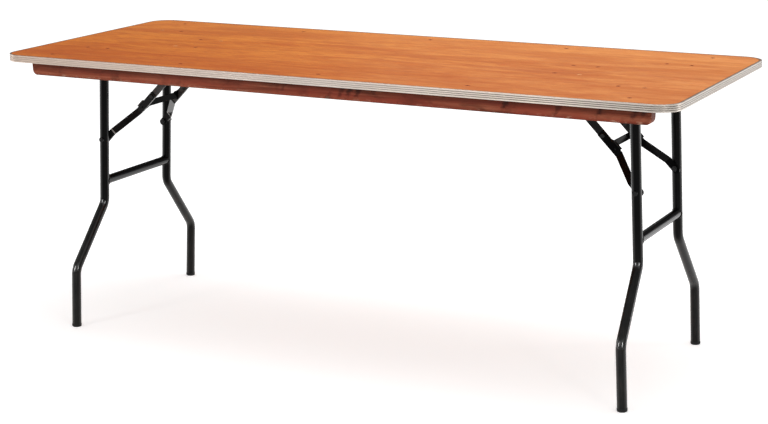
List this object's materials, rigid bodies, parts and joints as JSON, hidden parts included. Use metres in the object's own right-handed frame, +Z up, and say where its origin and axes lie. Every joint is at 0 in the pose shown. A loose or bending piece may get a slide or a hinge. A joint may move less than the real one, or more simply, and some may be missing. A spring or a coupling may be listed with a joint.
{
  "type": "buffet table",
  "caption": "Folding buffet table: lacquered plywood top with a ribbed edge band and wooden rails, on bent-tube leg frames that fold flat beneath it on locking braces.",
  "frame": {"origin": "on the floor under the centre of the top", "axes": "+X along the length to the right end, +Y to the rear long edge, +Z up"},
  "size_m": [1.83, 0.75, 0.75],
  "materials": {
    "lacquered_plywood": "satin lacquer over streaky orange-brown face veneer",
    "edge_aluminium": "satin ribbed extrusion",
    "stained_wood": "satin dark stain",
    "black_paint": "gloss black paint",
    "black_hardware": "gloss black paint on rivets and bolts",
    "black_plastic": "moulded black",
    "plated_steel": "steel under the same tinted lacquer as the board"
  },
  "bodies": {
    "table_top": {"brace_bracket_bolts": "plated_steel", "brace_bracket_nuts": "plated_steel", "edge_band": "edge_aluminium", "front_rail": "stained_wood", "left_brace_pivots": "black_hardware", "left_front_brace_bracket": "black_paint", "left_front_leg_bracket": "black_paint", "left_leg_pivots": "black_hardware", "left_rear_brace_bracket": "black_paint", "left_rear_leg_bracket": "black_paint", "leg_bracket_bolts": "plated_steel", "leg_bracket_nuts": "plated_steel", "plywood_top": "lacquered_plywood", "rail_screws": "plated_steel", "rear_rail": "stained_wood", "right_brace_pivots": "black_hardware", "right_front_brace_bracket": "black_paint", "right_front_leg_bracket": "black_paint", "right_leg_pivots": "black_hardware", "right_rear_brace_bracket": "black_paint", "right_rear_leg_bracket": "black_paint"},
    "left_upper_brace": {"left_brace_tie": "black_paint", "left_front_upper_link": "black_paint", "left_inner_rivets": "black_hardware", "left_rear_upper_link": "black_paint"},
    "left_leg": {"left_crossbar": "black_paint", "left_front_brace_bolt": "black_hardware", "left_front_brace_nut": "black_hardware", "left_front_foot_cap": "black_plastic", "left_front_leg_tube": "black_paint", "left_rear_brace_bolt": "black_hardware", "left_rear_brace_nut": "black_hardware", "left_rear_foot_cap": "black_plastic", "left_rear_leg_tube": "black_paint"},
    "left_front_lower_brace": {"left_front_knee_rivet": "black_hardware", "left_front_lower_link": "black_paint"},
    "left_rear_lower_brace": {"left_rear_knee_rivet": "black_hardware", "left_rear_lower_link": "black_paint"},
    "right_upper_brace": {"right_brace_tie": "black_paint", "right_front_upper_link": "black_paint", "right_inner_rivets": "black_hardware", "right_rear_upper_link": "black_paint"},
    "right_leg": {"right_crossbar": "black_paint", "right_front_brace_bolt": "black_hardware", "right_front_brace_nut": "black_hardware", "right_front_foot_cap": "black_plastic", "right_front_leg_tube": "black_paint", "right_rear_brace_bolt": "black_hardware", "right_rear_brace_nut": "black_hardware", "right_rear_foot_cap": "black_plastic", "right_rear_leg_tube": "black_paint"},
    "right_front_lower_brace": {"right_front_knee_rivet": "black_hardware", "right_front_lower_link": "black_paint"},
    "right_rear_lower_brace": {"right_rear_knee_rivet": "black_hardware", "right_rear_lower_link": "black_paint"}
  },
  "joints": [
    {"name": "left_leg_fold", "type": "hinge", "parent": "table_top", "child": "left_leg", "pos_m": [-0.7475, 0, 0.714], "axis": [0, -1, 0], "range_deg": [0, 92.7]},
    {"name": "left_upper_brace_turn", "type": "hinge", "parent": "table_top", "child": "left_upper_brace", "pos_m": [-0.5445, 0, 0.714], "axis": [0, -1, 0], "range_deg": [-45.6, 0]},
    {"name": "left_front_lower_brace_turn", "type": "hinge", "parent": "left_leg", "child": "left_front_lower_brace", "pos_m": [-0.75777, 0, 0.49624], "axis": [0, -1, 0], "range_deg": [0, 41.71]},
    {"name": "left_rear_lower_brace_turn", "type": "hinge", "parent": "left_leg", "child": "left_rear_lower_brace", "pos_m": [-0.75777, 0, 0.49624], "axis": [0, -1, 0], "range_deg": [0, 41.71]},
    {"name": "right_leg_fold", "type": "hinge", "parent": "table_top", "child": "right_leg", "pos_m": [0.7475, 0, 0.714], "axis": [0, 1, 0], "range_deg": [0, 92.7]},
    {"name": "right_upper_brace_turn", "type": "hinge", "parent": "table_top", "child": "right_upper_brace", "pos_m": [0.5445, 0, 0.714], "axis": [0, 1, 0], "range_deg": [-45.6, 0]},
    {"name": "right_front_lower_brace_turn", "type": "hinge", "parent": "right_leg", "child": "right_front_lower_brace", "pos_m": [0.75777, 0, 0.49624], "axis": [0, 1, 0], "range_deg": [0, 41.71]},
    {"name": "right_rear_lower_brace_turn", "type": "hinge", "parent": "right_leg", "child": "right_rear_lower_brace", "pos_m": [0.75777, 0, 0.49624], "axis": [0, 1, 0], "range_deg": [0, 41.71]}
  ],
  "couplings": [
    {"joint": "left_upper_brace_turn", "follows": "left_leg_fold", "ratio": -0.49187},
    {"joint": "left_front_lower_brace_turn", "follows": "left_leg_fold", "ratio": 0.44987},
    {"joint": "left_rear_lower_brace_turn", "follows": "left_leg_fold", "ratio": 0.44987},
    {"joint": "right_upper_brace_turn", "follows": "right_leg_fold", "ratio": -0.49187},
    {"joint": "right_front_lower_brace_turn", "follows": "right_leg_fold", "ratio": 0.44987},
    {"joint": "right_rear_lower_brace_turn", "follows": "right_leg_fold", "ratio": 0.44987}
  ]
}
